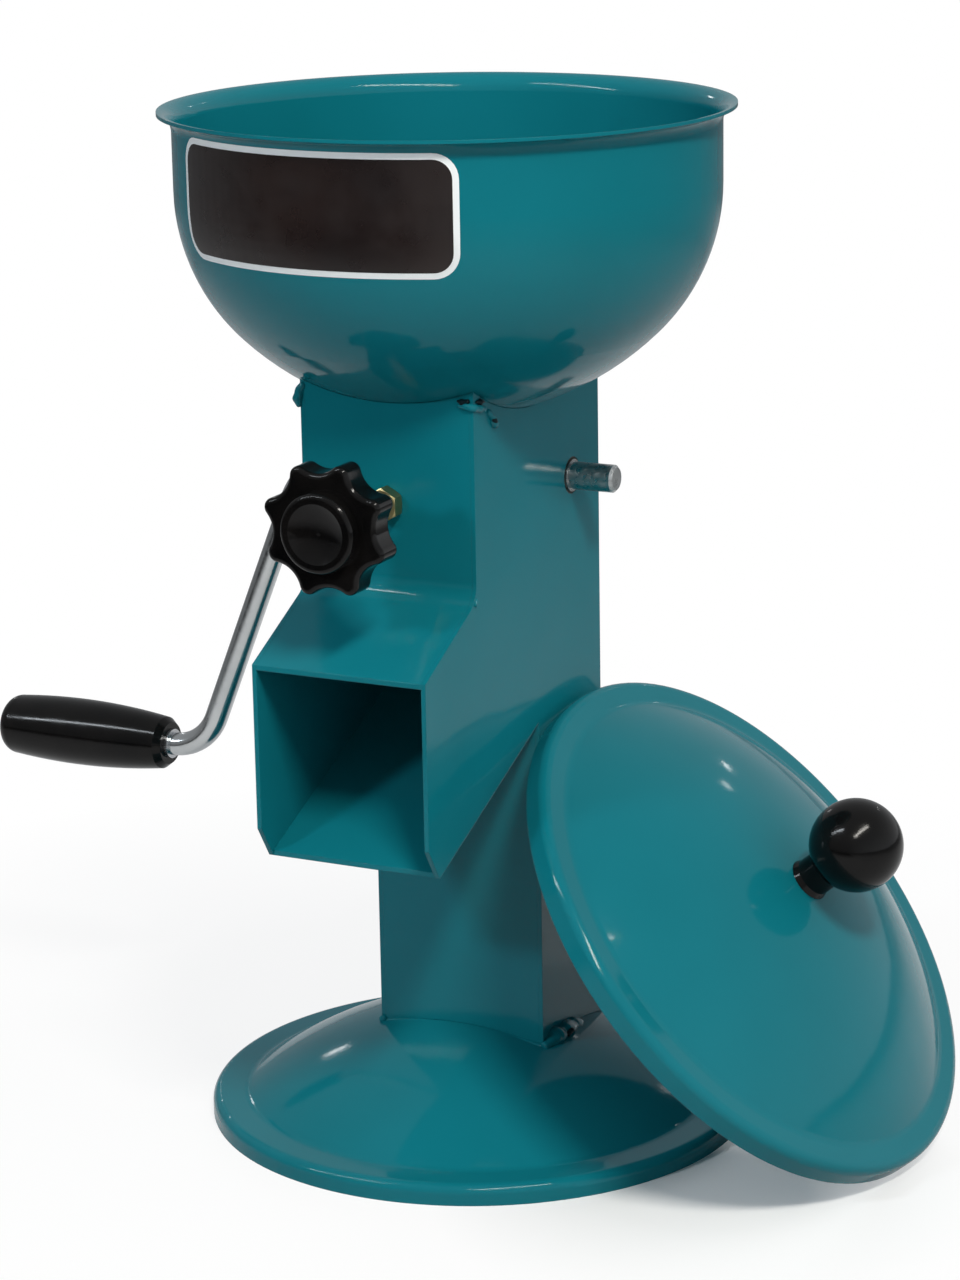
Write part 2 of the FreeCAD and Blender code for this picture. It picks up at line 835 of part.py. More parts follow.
class Crank:
    """Corners and directions of the bent rod, measured from the shaft's axis."""

    out = size("crank_outset")
    down = size("crank_throw")
    arm = length(out, down)
    top_x = -size("crank_corner_out")
    low_x = top_x - out
    turn = out / arm
    back_share = root((ONE - turn) / (ONE + turn))
    top_back = size("crank_top_bend") * back_share
    low_back = size("crank_low_bend") * back_share


def on_spindle(piece, distance):
    """Put a piece on the grip's spindle, at a distance from the low corner."""
    return place(piece, Crank.low_x - distance, SHAFT_Y, SHAFT_Z - Crank.down, TO_LEFT)


GRIP_END = size("grip_start") + size("grip_length")
ROD_END = GRIP_END - size("grip_pocket_depth") + size("grip_end_float")


def crank_rod():
    """One bent round rod: a plug, a slanted arm and the grip's spindle."""
    piece = body("crank_rod_blank")
    spine = new_sketch(piece, "rod_line", "XZ_Plane")
    arm_x, arm_z = Crank.out / Crank.arm, Crank.down / Crank.arm
    draw_path(spine, [
        (ROD_START_X, ZERO),
        (Crank.top_x + Crank.top_back, ZERO),
        (Crank.top_x - arm_x * Crank.top_back, -(arm_z * Crank.top_back), size("crank_top_bend"), 1),
        (Crank.low_x + arm_x * Crank.low_back, arm_z * Crank.low_back - Crank.down),
        (Crank.low_x - Crank.low_back, -Crank.down, size("crank_low_bend"), -1),
        (Crank.low_x - ROD_END, -Crank.down),
    ], closed=False)
    section = new_sketch(piece, "rod_section", "YZ_Plane")
    section.AttachmentOffset = FreeCAD.Placement(
        FreeCAD.Vector(0, 0, ROD_START_X.value), FreeCAD.Rotation())
    section.setExpression("AttachmentOffset.Base.z", ROD_START_X.formula)
    draw_circle(section, ZERO, ZERO, size("rod_radius"))
    pipe = piece.newObject("PartDesign::AdditivePipe", "rod_pipe")
    pipe.Profile = section
    pipe.Spine = spine
    piece.Tip = pipe
    place(piece, ZERO, SHAFT_Y, SHAFT_Z)
    hole = DOC.addObject("Part::Cylinder", "grip_screw_hole")
    bind(hole, "Radius", size("grip_screw_radius") + size("slip_gap"))
    bind(hole, "Height", size("grip_screw_length") + size("cut_overrun") * 2)
    on_spindle(hole, ROD_END - size("grip_screw_length") - size("cut_overrun"))
    return cut_with("crank_rod", piece, [hole])


def crank_grip():
    """Barrel grip with a bevelled nose and a rounded tail, which spins on the rod."""
    run = size("rod_radius") + size("running_gap")
    inner = size("grip_inner_radius")
    outer = size("grip_outer_radius")
    tail = size("grip_tail_round")
    total = size("grip_length")
    pocket = size("grip_pocket_radius")
    floor = total - size("grip_pocket_depth")
    return on_spindle(turned("crank_grip", [
        (run, ZERO),
        (inner - size("grip_nose_drop"), ZERO),
        (inner, size("grip_nose_length")),
        (outer, total - tail, size("grip_swell_radius"), 1),
        (outer - tail, total, tail, 1),
        (pocket, total),
        (pocket, floor),
        (run, floor),
    ]), size("grip_start"))


def disc(name, radius, thickness, inner=ZERO):
    return turned(name, [(inner, ZERO), (radius, ZERO), (radius, thickness), (inner, thickness)])


def grip_stop():
    """Ring on the rod that keeps the grip off the bend."""
    inner = size("rod_radius") + size("slip_gap")
    ring = disc("grip_stop", size("stop_radius"), size("stop_thickness"), inner)
    return on_spindle(ring, size("grip_start") - size("stop_face_gap") - size("stop_thickness"))


def grip_cap():
    radius = size("grip_pocket_radius") - size("grip_cap_gap")
    cap = disc("grip_cap", radius, size("grip_cap_thickness"))
    return on_spindle(cap, GRIP_END - size("grip_cap_thickness"))


def grip_washer():
    inner = size("grip_screw_radius") + size("slip_gap")
    washer = disc("grip_washer", size("washer_radius"), size("washer_thickness"), inner)
    return on_spindle(washer, ROD_END)


def grip_screw():
    seat = size("washer_thickness")
    head = size("grip_screw_head_radius")
    shank = size("grip_screw_radius")
    return on_spindle(turned("grip_screw", [
        (ZERO, -size("grip_screw_length")),
        (shank, -size("grip_screw_length")),
        (shank, seat),
        (head, seat),
        (head, seat + size("grip_screw_head")),
        (ZERO, seat + size("grip_screw_head")),
    ]), ROD_END)


def jaw_plate():
    """Ribbed pressure plate that swings on a rod under the bowl, in front of the drum."""
    knuckle = size("jaw_knuckle_radius")
    near = size("jaw_face_reach")
    far = near + size("jaw_plate")
    drop = size("jaw_slope_drop")
    low = size("jaw_length")
    under = knuckle + drop * near / far
    pitch = (low - drop) / JAW_RIBS
    outline = [(ZERO, knuckle)]
    for rib in range(JAW_RIBS):
        top = drop + pitch * rib
        tip = far + size("jaw_rib_depth")
        crest = top + (pitch - size("jaw_rib_land")) / 2
        outline.append((far, -top))
        outline.append((tip, -crest))
        outline.append((tip, -(crest + size("jaw_rib_land"))))
    outline += [(far, -low), (near, -low), (near, -under), (ZERO, -knuckle)]
    piece = body("jaw_plate")
    pad(piece, "jaw_web", "YZ_Plane", [outline], size("jaw_width"), symmetric=True)
    pad(piece, "jaw_knuckle", "YZ_Plane", [], size("jaw_width"), symmetric=True,
        circles=[(ZERO, ZERO, knuckle)])
    drill(piece, "jaw_bore", "YZ_Plane", [(ZERO, ZERO, size("jaw_rod_radius") + size("running_gap"))])
    return place(piece, ZERO, HINGE_Y, HINGE_Z)


def jaw_hinge_rod():
    radius = size("jaw_rod_radius")
    piece = turned("jaw_hinge_rod", [
        (ZERO, -INNER_HALF), (radius, -INNER_HALF), (radius, INNER_HALF), (ZERO, INNER_HALF)])
    return place(piece, ZERO, HINGE_Y, HINGE_Z, TO_RIGHT)


FOOT_DOME = size("foot_dome_radius") - root(
    size("foot_dome_radius") * size("foot_dome_radius") - size("foot_radius") * size("foot_radius"))
FOOT_BACK_Y = (HINGE_Y + size("jaw_face_reach") - size("foot_contact_gap")
               - FOOT_DOME - size("foot_body"))
FLANGE_BACK_Y = FRONT_Y - size("knob_face_set") + size("knob_boss_rise") + size("knob_flange")
HUB_BACK_Y = FLANGE_BACK_Y + size("knob_hub_length")
SCREW_START_Y = HUB_BACK_Y - size("insert_length")


def screw_foot():
    """Domed pad on the screw's tip. It slides with the screw but doesn't turn with it."""
    run = size("foot_tip_radius") + size("running_gap")
    depth = size("foot_tip_length") + size("foot_bottom_gap")
    piece = turned("screw_foot", [
        (run, ZERO),
        (size("foot_radius"), ZERO),
        (size("foot_radius"), size("foot_body")),
        (ZERO, size("foot_body") + FOOT_DOME, size("foot_dome_radius"), 1),
        (ZERO, depth),
        (run, depth),
    ])
    return place(piece, ZERO, FOOT_BACK_Y, SCREW_Z, TO_BACK)


def adjusting_screw():
    radius = size("screw_radius")
    chamfer = size("screw_chamfer")
    tip = size("foot_tip_radius")
    shoulder = FOOT_BACK_Y - size("foot_seat_gap") - SCREW_START_Y
    end = shoulder + size("foot_seat_gap") + size("foot_tip_length")
    piece = turned("adjusting_screw", [
        (ZERO, ZERO),
        (radius, ZERO),
        (radius, shoulder - chamfer),
        (radius - chamfer, shoulder),
        (tip, shoulder),
        (tip, end),
        (ZERO, end),
    ])
    return place(piece, ZERO, SCREW_START_Y, SCREW_Z, TO_BACK)


def screw_boss():
    inner = size("screw_radius") + size("screw_thread_gap")
    piece = disc("screw_boss", size("boss_radius"), size("boss_length"), inner)
    return place(piece, ZERO, FRONT_Y + PLATE, SCREW_Z, TO_BACK)


def lock_nut():
    """Hexagon nut on the screw, against the front plate."""
    half_side = as_size(FULL_TURN / HEX_SIDES / 2)
    corner = size("nut_flats") / (cosine(half_side) * 2)
    outline = [polar(corner, half_side * (2 * side + 1)) for side in range(HEX_SIDES)]
    piece = body("lock_nut")
    hole = (ZERO, ZERO, size("screw_radius") + size("screw_thread_gap"))
    thick = size("nut_thickness")
    pad(piece, "nut_hexagon", "XY_Plane", [outline], thick, circles=[hole])
    flat = corner - size("nut_chamfer_run")
    drop = size("nut_chamfer_drop")
    bore(piece, "front_chamfer", [(flat, ZERO), (corner, ZERO), (corner, drop)])
    bore(piece, "back_chamfer", [(flat, thick), (corner, thick), (corner, thick - drop)])
    start = FRONT_Y - size("nut_face_gap") - size("nut_thickness")
    return place(piece, ZERO, start, SCREW_Z, TO_BACK)


def star_outline():
    """Eight convex lobes joined by tangent scallops."""
    lobe = size("knob_lobe_radius")
    scallop = size("knob_scallop_radius")
    reach = size("knob_radius") - lobe
    half = as_size(FULL_TURN / KNOB_LOBES / 2)
    joined = (lobe + scallop) * (lobe + scallop)
    across = reach * cosine(half)
    hollow = across + root(across * across - reach * reach + joined)
    share = lobe / (lobe + scallop)
    outline = []
    for index in range(KNOB_LOBES):
        middle = size("knob_lobe_turn") + half * (2 * index)
        lobe_x, lobe_y = polar(reach, middle)
        for side, radius, turn in ((-half, scallop, -1), (half, lobe, 1)):
            hollow_x, hollow_y = polar(hollow, middle + side)
            x = lobe_x + (hollow_x - lobe_x) * share
            y = lobe_y + (hollow_y - lobe_y) * share
            outline.append((x, y, radius, turn))
    return outline


def star_knob():
    """Eight-lobed knob with a raised, dished face and a hub behind."""
    flange = size("knob_flange")
    boss = size("knob_boss_radius")
    top = flange + size("knob_boss_rise")
    dish_r = size("knob_dish_radius")
    depth = size("knob_dish_depth")
    hub = size("knob_hub_radius")
    piece = body("star_knob")
    pad(piece, "star_flange", "XY_Plane", [star_outline()], flange)
    DOC.recompute()
    rims = [
        "Edge%d" % (index + 1)
        for index, edge in enumerate(piece.Shape.Edges)
        if abs(edge.BoundBox.ZLength) < abs(edge.Length) * 1e-6
    ]
    round_edges(piece, "flange_rims", rims, size("knob_edge_round"))
    round_r = size("knob_rim_round")
    revolve(piece, "knob_core", [
        (ZERO, -size("knob_hub_length")),
        (hub, -size("knob_hub_length")),
        (hub, size("knob_edge_round")),
        (boss, size("knob_edge_round")),
        (boss, top - round_r),
        (boss - round_r, top, round_r, 1),
        (ZERO, top),
    ])
    bowl = (dish_r * dish_r + depth * depth) / (depth * 2)
    bore(piece, "knob_dish", [
        (ZERO, top - depth),
        (dish_r, top, bowl, 1),
        (ZERO, top),
    ])
    seat = size("insert_radius") + size("slip_gap")
    floor = size("insert_length") - size("knob_hub_length")
    bore(piece, "insert_bore", [
        (ZERO, -size("knob_hub_length")),
        (seat, -size("knob_hub_length")),
        (seat, floor),
        (ZERO, floor),
    ])
    return place(piece, ZERO, FLANGE_BACK_Y, SCREW_Z, TO_FRONT)


def knob_insert():
    inner = size("screw_radius") + size("slip_gap")
    piece = disc("knob_insert", size("insert_radius"), size("insert_length"), inner)
    return place(piece, ZERO, SCREW_START_Y, SCREW_Z, TO_BACK)


def lean(piece, lift):
    """Put a piece on the leaning lid's axis, lifted from the plane of its rim."""
    tilt = size("lid_tilt")
    heading = size("lid_heading")
    out_x = cosine(tilt) * cosine(heading)
    out_y = cosine(tilt) * sine(heading)
    radius = size("lid_radius")
    x = HALF_WIDTH + size("lid_lean_gap") + radius * root(ONE - out_x * out_x)
    y = AXIS_Y + size("lid_contact_set")
    z = radius * cosine(tilt)
    normal = FreeCAD.Vector(out_x.value, out_y.value, sine(tilt).value)
    turn = FreeCAD.Rotation(FreeCAD.Vector(0, 0, 1), normal)
    return place(piece, x + out_x * lift, y + out_y * lift, z + sine(tilt) * lift, turn)


def lid_dish():
    return lean(dish("lid", size("lid_hole_radius")), ZERO)


def lid_knob():
    """Ball knob on a short waisted stem."""
    ball = size("ball_radius")
    stem = size("ball_stem_radius")
    centre = size("ball_height")
    thread = size("lid_screw_radius") + size("slip_gap")
    return lean(turned("lid_knob", [
        (thread, ZERO),
        (size("ball_base_radius"), ZERO),
        (stem, size("ball_base_height")),
        (stem, centre - root(ball * ball - stem * stem)),
        (ZERO, centre + ball, ball, 1),
        (ZERO, size("ball_thread_depth")),
        (thread, size("ball_thread_depth")),
    ]), LID_TOP)


def lid_washer_drop():
    """How far the dish's curved underside falls away at the washer's edge."""
    inner = cap_radius("lid") - size("dish_wall")
    radius = size("lid_washer_radius")
    return inner - root(inner * inner - radius * radius) + size("dish_wall")


def lid_washer():
    inner = size("lid_screw_radius") + size("slip_gap")
    washer = disc("lid_washer", size("lid_washer_radius"), size("lid_washer_thickness"), inner)
    return lean(washer, LID_TOP - lid_washer_drop() - size("lid_washer_thickness"))


def lid_screw():
    """Screw from under the lid, up into the ball knob."""
    seat = -lid_washer_drop() - size("lid_washer_thickness")
    shank = size("lid_screw_radius")
    head = size("lid_screw_head_radius")
    tip = size("ball_thread_depth") - size("screw_chamfer")
    return lean(turned("lid_screw", [
        (ZERO, seat - size("lid_screw_head")),
        (head, seat - size("lid_screw_head")),
        (head, seat),
        (shank, seat),
        (shank, tip),
        (ZERO, tip),
    ]), LID_TOP)


def build():
    """Make every piece. The spaces only shape the plates and aren't written."""
    top, foot = bowl_space(), dome_space()
    return [
        dish("base", ZERO),
        side_plate("side_plate_left", -HALF_WIDTH, [top, foot]),
        side_plate("side_plate_right", INNER_HALF, [top, foot]),
        front_plate([top]),
        back_plate([top, foot]),
        chute_floor(),
        leg_front_plate(foot),
        hopper_bowl(),
        shaft_bush("shaft_bush_left", -1, TO_LEFT),
        shaft_bush("shaft_bush_right", 1, TO_RIGHT),
        drive_shaft(),
        cracking_drum(),
        drum_pin(),
        crank_socket(),
        socket_screws(),
        crank_rod(),
        grip_stop(),
        crank_grip(),
        grip_cap(),
        grip_washer(),
        grip_screw(),
        jaw_plate(),
        jaw_hinge_rod(),
        screw_foot(),
        adjusting_screw(),
        screw_boss(),
        lock_nut(),
        star_knob(),
        knob_insert(),
        lid_dish(),
        lid_knob(),
        lid_washer(),
        lid_screw(),
    ]


def check_document(nodes):
    """Stop before anything is written if a feature failed or a shape is unsound."""
    for thing in DOC.Objects:
        if "Invalid" in thing.State or "Error" in thing.State:
            raise RuntimeError("failed feature: %s %s" % (thing.Label, thing.State))
    for node in nodes:
        if node.Shape.isNull() or not node.Shape.isValid():
            raise RuntimeError("unsound shape: " + node.Label)


fill_sheet()
NODES = build()
DOC.recompute()
check_document(NODES)
os.makedirs("parts", exist_ok=True)
for node in NODES:
    node.Shape.exportStep("parts/%s.step" % node.Label)
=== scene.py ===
import json
import math
import bmesh
import bpy
from mathutils import Matrix, Vector, noise
from mathutils.bvhtree import BVHTree


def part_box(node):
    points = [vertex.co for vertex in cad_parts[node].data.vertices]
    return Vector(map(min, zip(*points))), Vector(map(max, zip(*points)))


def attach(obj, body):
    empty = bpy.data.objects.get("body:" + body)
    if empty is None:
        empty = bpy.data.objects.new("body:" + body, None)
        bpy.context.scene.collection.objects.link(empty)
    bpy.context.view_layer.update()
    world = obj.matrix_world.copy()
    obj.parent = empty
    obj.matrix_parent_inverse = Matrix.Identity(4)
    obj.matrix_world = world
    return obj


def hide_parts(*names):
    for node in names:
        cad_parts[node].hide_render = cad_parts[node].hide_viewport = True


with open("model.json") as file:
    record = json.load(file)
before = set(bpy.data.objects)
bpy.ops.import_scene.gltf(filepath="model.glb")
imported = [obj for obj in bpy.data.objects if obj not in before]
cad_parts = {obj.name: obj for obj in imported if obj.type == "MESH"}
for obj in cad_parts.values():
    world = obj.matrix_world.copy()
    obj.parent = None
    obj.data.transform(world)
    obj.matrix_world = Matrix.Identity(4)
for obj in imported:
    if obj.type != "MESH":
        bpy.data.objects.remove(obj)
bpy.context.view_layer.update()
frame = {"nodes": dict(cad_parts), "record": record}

# Camera, solved from the photo. Metres in the part's frame.
CAMERA_PLACE = Vector((0.6986, -1.3793, 0.6252))
CAMERA_TARGET = Vector((0.0107, -0.0145, 0.2177))
CAMERA_ROLL = math.radians(-1.02)
FOCAL_PIXELS = 3681.24
IMAGE_HEIGHT = 1280
SENSOR_MM = 36.0
CLIP_END = 50


def make_camera():
    """Camera at the photo's place, level apart from its small roll."""
    back = (CAMERA_PLACE - CAMERA_TARGET).normalized()
    right = Vector((0, 0, 1)).cross(back).normalized()
    up = back.cross(right)
    rolled_right = math.cos(CAMERA_ROLL) * right + math.sin(CAMERA_ROLL) * up
    rolled_up = -math.sin(CAMERA_ROLL) * right + math.cos(CAMERA_ROLL) * up
    data = bpy.data.cameras.new("photo_camera")
    data.sensor_fit = "VERTICAL"
    data.sensor_height = SENSOR_MM
    data.lens = FOCAL_PIXELS / IMAGE_HEIGHT * SENSOR_MM
    data.clip_end = CLIP_END
    camera = bpy.data.objects.new("photo_camera", data)
    bpy.context.collection.objects.link(camera)
    turn = Matrix((rolled_right, rolled_up, back)).transposed()
    camera.matrix_world = Matrix.Translation(CAMERA_PLACE) @ turn.to_4x4()
    bpy.context.scene.camera = camera


# Places of the colour sockets on a Mix node that mixes colours.
COLOUR_A = 6
COLOUR_B = 7
COLOUR_RESULT = 2
# The part of a cloudy noise's range that its patches use.
NOISE_LOW = 0.3
NOISE_HIGH = 0.7


def map_range(node, links, source, ends):
    """Set a Map Range node's (from low, from high, to low, to high) and feed it."""
    for key, value in zip(("From Min", "From Max", "To Min", "To Max"), ends):
        node.inputs[key].default_value = value
    links.new(source, node.inputs["Value"])
    return node.outputs["Result"]


class Shader:
    """A material whose nodes are built step by step."""

    def __init__(self, name, **inputs):
        self.material = bpy.data.materials.new(name)
        self.material.use_nodes = True
        self.nodes = self.material.node_tree.nodes
        self.links = self.material.node_tree.links
        self.surface = self.nodes["Principled BSDF"]
        for key, value in inputs.items():
            self.surface.inputs[key.replace("_", " ")].default_value = value

    def add(self, kind, **values):
        """New node, with its sockets and settings by name."""
        node = self.nodes.new(kind)
        for key, value in values.items():
            if key in node.inputs:
                node.inputs[key].default_value = value
            else:
                setattr(node, key, value)
        return node

    def place(self):
        """Object coordinates in metres, which are the same for every piece."""
        return self.add("ShaderNodeTexCoord").outputs["Object"]

    def noise(self, scale, detail=2.0):
        """Cloudy value round 0.5. The scale is in cycles per metre."""
        node = self.add("ShaderNodeTexNoise", Scale=scale, Detail=detail)
        self.links.new(self.place(), node.inputs["Vector"])
        return node.outputs["Fac"]

    def patches(self, scale, low_value, high_value, detail=2.0):
        """Cloudy value spread over a range."""
        return self.ramp(self.noise(scale, detail), NOISE_LOW, NOISE_HIGH, low_value, high_value)

    def ramp(self, source, low, high, low_value, high_value):
        """Map a value from one range to another, and hold it at the ends."""
        node = self.nodes.new("ShaderNodeMapRange")
        return map_range(node, self.links, source, (low, high, low_value, high_value))

    def maths(self, operation, first, second):
        """Sum or product of two values, held between 0 and 1."""
        node = self.add("ShaderNodeMath", operation=operation, use_clamp=True)
        self.links.new(first, node.inputs[0])
        self.links.new(second, node.inputs[1])
        return node.outputs[0]

    def blend(self, share, first, second):
        """Mix two shaders and put the mix on the surface."""
        node = self.add("ShaderNodeMixShader")
        self.links.new(share, node.inputs["Fac"])
        self.links.new(first, node.inputs[1])
        self.links.new(second, node.inputs[2])
        output = self.nodes["Material Output"]
        self.links.new(node.outputs["Shader"], output.inputs["Surface"])

    def mix_colour(self, source, first, second):
        """Mix two colours, each given as three numbers or as a socket."""
        node = self.add("ShaderNodeMix", data_type="RGBA")
        self.links.new(source, node.inputs["Factor"])
        for socket, colour in ((COLOUR_A, first), (COLOUR_B, second)):
            if isinstance(colour, tuple):
                node.inputs[socket].default_value = (*colour, 1)
            else:
                self.links.new(colour, node.inputs[socket])
        return node.outputs[COLOUR_RESULT]

    def bump(self, source, distance, before=None):
        """Raise the surface by a value. The distance is in metres."""
        node = self.add("ShaderNodeBump", Distance=distance)
        self.links.new(source, node.inputs["Height"])
        if before:
            self.links.new(before, node.inputs["Normal"])
        return node.outputs["Normal"]

    def feed(self, **sources):
        """Link sockets to the surface and give the finished material."""
        for key, source in sources.items():
            self.links.new(source, self.surface.inputs[key.replace("_", " ")])
        return self.material


def enamel():
    """Gloss teal enamel sprayed on sheet steel: slight orange peel and uneven colour."""
    shader = Shader("teal_enamel", Specular_IOR_Level=0.16)
    colour = shader.mix_colour(
        shader.patches(9.0, 0, 1, 3.0), (0.0036, 0.151, 0.188), (0.0052, 0.171, 0.214))
    rough = shader.patches(40.0, 0.07, 0.12, 4.0)
    edge = shader.add("ShaderNodeBevel", Radius=0.0005)
    peel = shader.bump(shader.noise(260.0, 1.0), 0.00003, before=edge.outputs["Normal"])
    wave = shader.bump(shader.noise(22.0, 1.0), 0.0004, before=peel)
    return shader.feed(Base_Color=colour, Roughness=rough, Normal=wave)


def moulded_black():
    """Gloss black thermoset, with fine flow marks."""
    shader = Shader("black_plastic", Specular_IOR_Level=0.2)
    colour = shader.mix_colour(
        shader.patches(60.0, 0, 1, 4.0), (0.0022, 0.0022, 0.0024), (0.0055, 0.005, 0.0048))
    rough = shader.patches(150.0, 0.10, 0.17, 3.0)
    peel = shader.bump(shader.noise(500.0, 1.0), 0.00002)
    return shader.feed(Base_Color=colour, Roughness=rough, Normal=peel)


def metal(name, low, high, rough, grain, depth):
    """Metal between two colours, with scratches of a grain in cycles per metre and a depth in metres."""
    shader = Shader(name, Metallic=1.0)
    colour = shader.mix_colour(shader.patches(30.0, 0, 1, 4.0), low, high)
    scratch = shader.noise(grain, 3.0)
    return shader.feed(Base_Color=colour, Normal=shader.bump(scratch, depth),
                       Roughness=shader.ramp(scratch, NOISE_LOW, NOISE_HIGH, *rough))


# One material for each slot of the record.
MATERIALS = {
    "teal_paint": enamel(),
    "black_plastic": moulded_black(),
    "bright_steel": metal(
        "chromed_rod", (0.50, 0.52, 0.53), (0.62, 0.64, 0.65), (0.12, 0.22), 300.0, 0.00002),
    "plain_steel": metal(
        "turned_steel", (0.30, 0.31, 0.32), (0.45, 0.46, 0.47), (0.28, 0.42), 200.0, 0.00003),
    "hard_steel": metal(
        "hardened_steel", (0.16, 0.16, 0.17), (0.26, 0.26, 0.27), (0.3, 0.5), 120.0, 0.00005),
    "cast_jaw": metal(
        "cast_iron", (0.06, 0.06, 0.062), (0.10, 0.10, 0.102), (0.5, 0.75), 250.0, 0.0003),
    # The bushes' bronze is darkened nearly to black: painted shade at the shaft's root, where their ends
    # show.
    "bronze": metal(
        "bronze_darkened_as_shade", (0.018, 0.022, 0.021), (0.045, 0.046, 0.040), (0.4, 0.55), 300.0, 0.00005),
    "brass": metal(
        "brass", (0.36, 0.27, 0.11), (0.46, 0.35, 0.15), (0.35, 0.5), 200.0, 0.00003),
    "yellow_zinc": metal(
        "yellow_zinc", (0.34, 0.28, 0.13), (0.44, 0.37, 0.19), (0.35, 0.5), 150.0, 0.00003),
    "zinc": metal(
        "bright_zinc", (0.50, 0.51, 0.53), (0.62, 0.63, 0.66), (0.2, 0.35), 150.0, 0.00003),
}
# The shaft's free end shows deep turning marks, unlike the other plain steel.
TURNED_SHAFT = metal(
    "turned_shaft", (0.30, 0.32, 0.33), (0.50, 0.52, 0.52), (0.2, 0.45), 420.0, 0.00025)
# The record's material slot of each node.
SLOTS = {entry["node"]: entry["material_slot"] for entry in frame["record"]["subparts"]}


def dress_nodes():
    """Give each CAD node the material of its slot."""
    for name, obj in frame["nodes"].items():
        material = TURNED_SHAFT if name == "drive_shaft" else MATERIALS[SLOTS[name]]
        obj.data.materials.clear()
        obj.data.materials.append(material)


def make_object(name, bm, material):
    """Turn a bmesh into an object of one material."""
    mesh = bpy.data.meshes.new(name)
    bm.to_mesh(mesh)
    bm.free()
    mesh.materials.append(material)
    obj = bpy.data.objects.new(name, mesh)
    bpy.context.collection.objects.link(obj)
    return obj


def make_piece(name, bm, material, body):
    """Turn a bmesh into a smooth piece that rides on a body."""
    piece = make_object(name, bm, material)
    for face in piece.data.polygons:
        face.use_smooth = True
    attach(piece, body)
    return piece


def skin(bm, rings, closed):
    """Quads between rings of equally many points. Closed rings get an end cap each."""
    for near, far in zip(rings, rings[1:]):
        count = len(near)
        for index in range(count if closed else count - 1):
            after = (index + 1) % count
            bm.faces.new((near[index], far[index], far[after], near[after]))
    if closed:
        bm.faces.new(rings[0])
        bm.faces.new(rings[-1])
        bmesh.ops.recalc_face_normals(bm, faces=bm.faces)


# The bowl as the sticker meets it, in metres. The rays that find its skin start well outside it.
BOWL_AXIS_Y = -0.015
BOWL_SHOULDER_Z = 0.414
BOWL_RADIUS = 0.1145
BOWL_SIDE_RADIUS = 0.085
OUTSIDE_BOWL = 0.2
BOWL_SURFACE = BVHTree.FromObject(
    frame["nodes"]["hopper_bowl"], bpy.context.evaluated_depsgraph_get())


def on_bowl(angle, down, lift):
    """Point on the bowl's outside, by angle from the front and length down from its shoulder."""
    bend = max(down, 0.0) / BOWL_SIDE_RADIUS
    height = BOWL_SHOULDER_Z + max(-down, 0.0) - BOWL_SIDE_RADIUS * math.sin(bend)
    out = Vector((math.sin(angle), -math.cos(angle), 0))
    start = Vector((0, BOWL_AXIS_Y, height)) + out * OUTSIDE_BOWL
    hit, normal, _, _ = BOWL_SURFACE.ray_cast(start, -out)
    if normal.dot(out) < 0:
        normal = -normal
    return hit + normal * lift


# The sticker: its middle as an angle from the front, and its edges as lengths down from the shoulder.
LABEL_MIDDLE = math.radians(-5.7)
LABEL_HALF_WIDTH = 0.0697
LABEL_TOP = -0.0275
LABEL_BOTTOM = 0.0224
LABEL_CORNER = 0.0105
LABEL_BORDER = 0.0026
LABEL_THICKNESS = 0.0001
LABEL_COLUMNS = 96
LABEL_ROWS = 24
CORNER_STEPS = 8


def label_sheet(name, inset, lift, material):
    """Thin sheet with rounded corners, wrapped round the bowl."""
    half = LABEL_HALF_WIDTH - inset
    top = LABEL_TOP + inset
    bottom = LABEL_BOTTOM - inset
    corner = LABEL_CORNER - inset
    turns = [math.pi / 2 * step / CORNER_STEPS for step in range(CORNER_STEPS + 1)]
    ends = [(corner * (1 - math.cos(turn)), corner * (1 - math.sin(turn))) for turn in turns]
    span = bottom - top - 2 * corner
    rows = [(top + sink, pull) for sink, pull in ends]
    rows += [(top + corner + span * step / LABEL_ROWS, 0.0) for step in range(1, LABEL_ROWS)]
    rows += [(bottom - sink, pull) for sink, pull in reversed(ends)]
    bm = bmesh.new()
    grid = []
    for down, pull in rows:
        line = []
        for column in range(LABEL_COLUMNS + 1):
            across = (column / LABEL_COLUMNS * 2 - 1) * (half - pull)
            angle = LABEL_MIDDLE + across / BOWL_RADIUS
            line.append(bm.verts.new(on_bowl(angle, down, lift)))
        grid.append(line)
    skin(bm, grid, closed=False)
    make_piece(name, bm, material, "housing")


def make_label():
    """Blank sticker: a white sheet with a dark panel inside its border."""
    white = Shader("label_white")
    tint = white.mix_colour(white.noise(25.0), (0.80, 0.84, 0.85), (0.88, 0.91, 0.92))
    paper = white.feed(Base_Color=tint, Roughness=white.patches(80.0, 0.3, 0.4))
    label_sheet("label_backing", 0.0, LABEL_THICKNESS, paper)
    dark = Shader("label_panel")
    tint = dark.mix_colour(
        dark.ramp(dark.noise(14.0, 3.0), 0.35, 0.65, 0, 1), (0.006, 0.004, 0.0045), (0.016, 0.009, 0.008))
    panel = dark.feed(Base_Color=tint, Roughness=dark.patches(90.0, 0.25, 0.36))
    label_sheet("label_panel", LABEL_BORDER, 2 * LABEL_THICKNESS, panel)


MM = 0.001
LUMP_SIDES = 12
LUMP_STEPS = 5
# Share of the radius at which each ring of a round end stands off.
LUMP_CAPS = (0.5, 0.87)
# Lumps for each metre, how far apart in the noise two beads are, and the share of the radius at
# which the noise is read.
LUMP_GRAIN = 380
LUMP_SEED_STEP = 3.7
LUMP_READ = 0.6
LUMP_SMOOTHING = 2
# A direction that no bead runs along, from which the rings take their own directions.
LUMP_STEADY = Vector((0.31, 0.55, 0.77)).normalized()


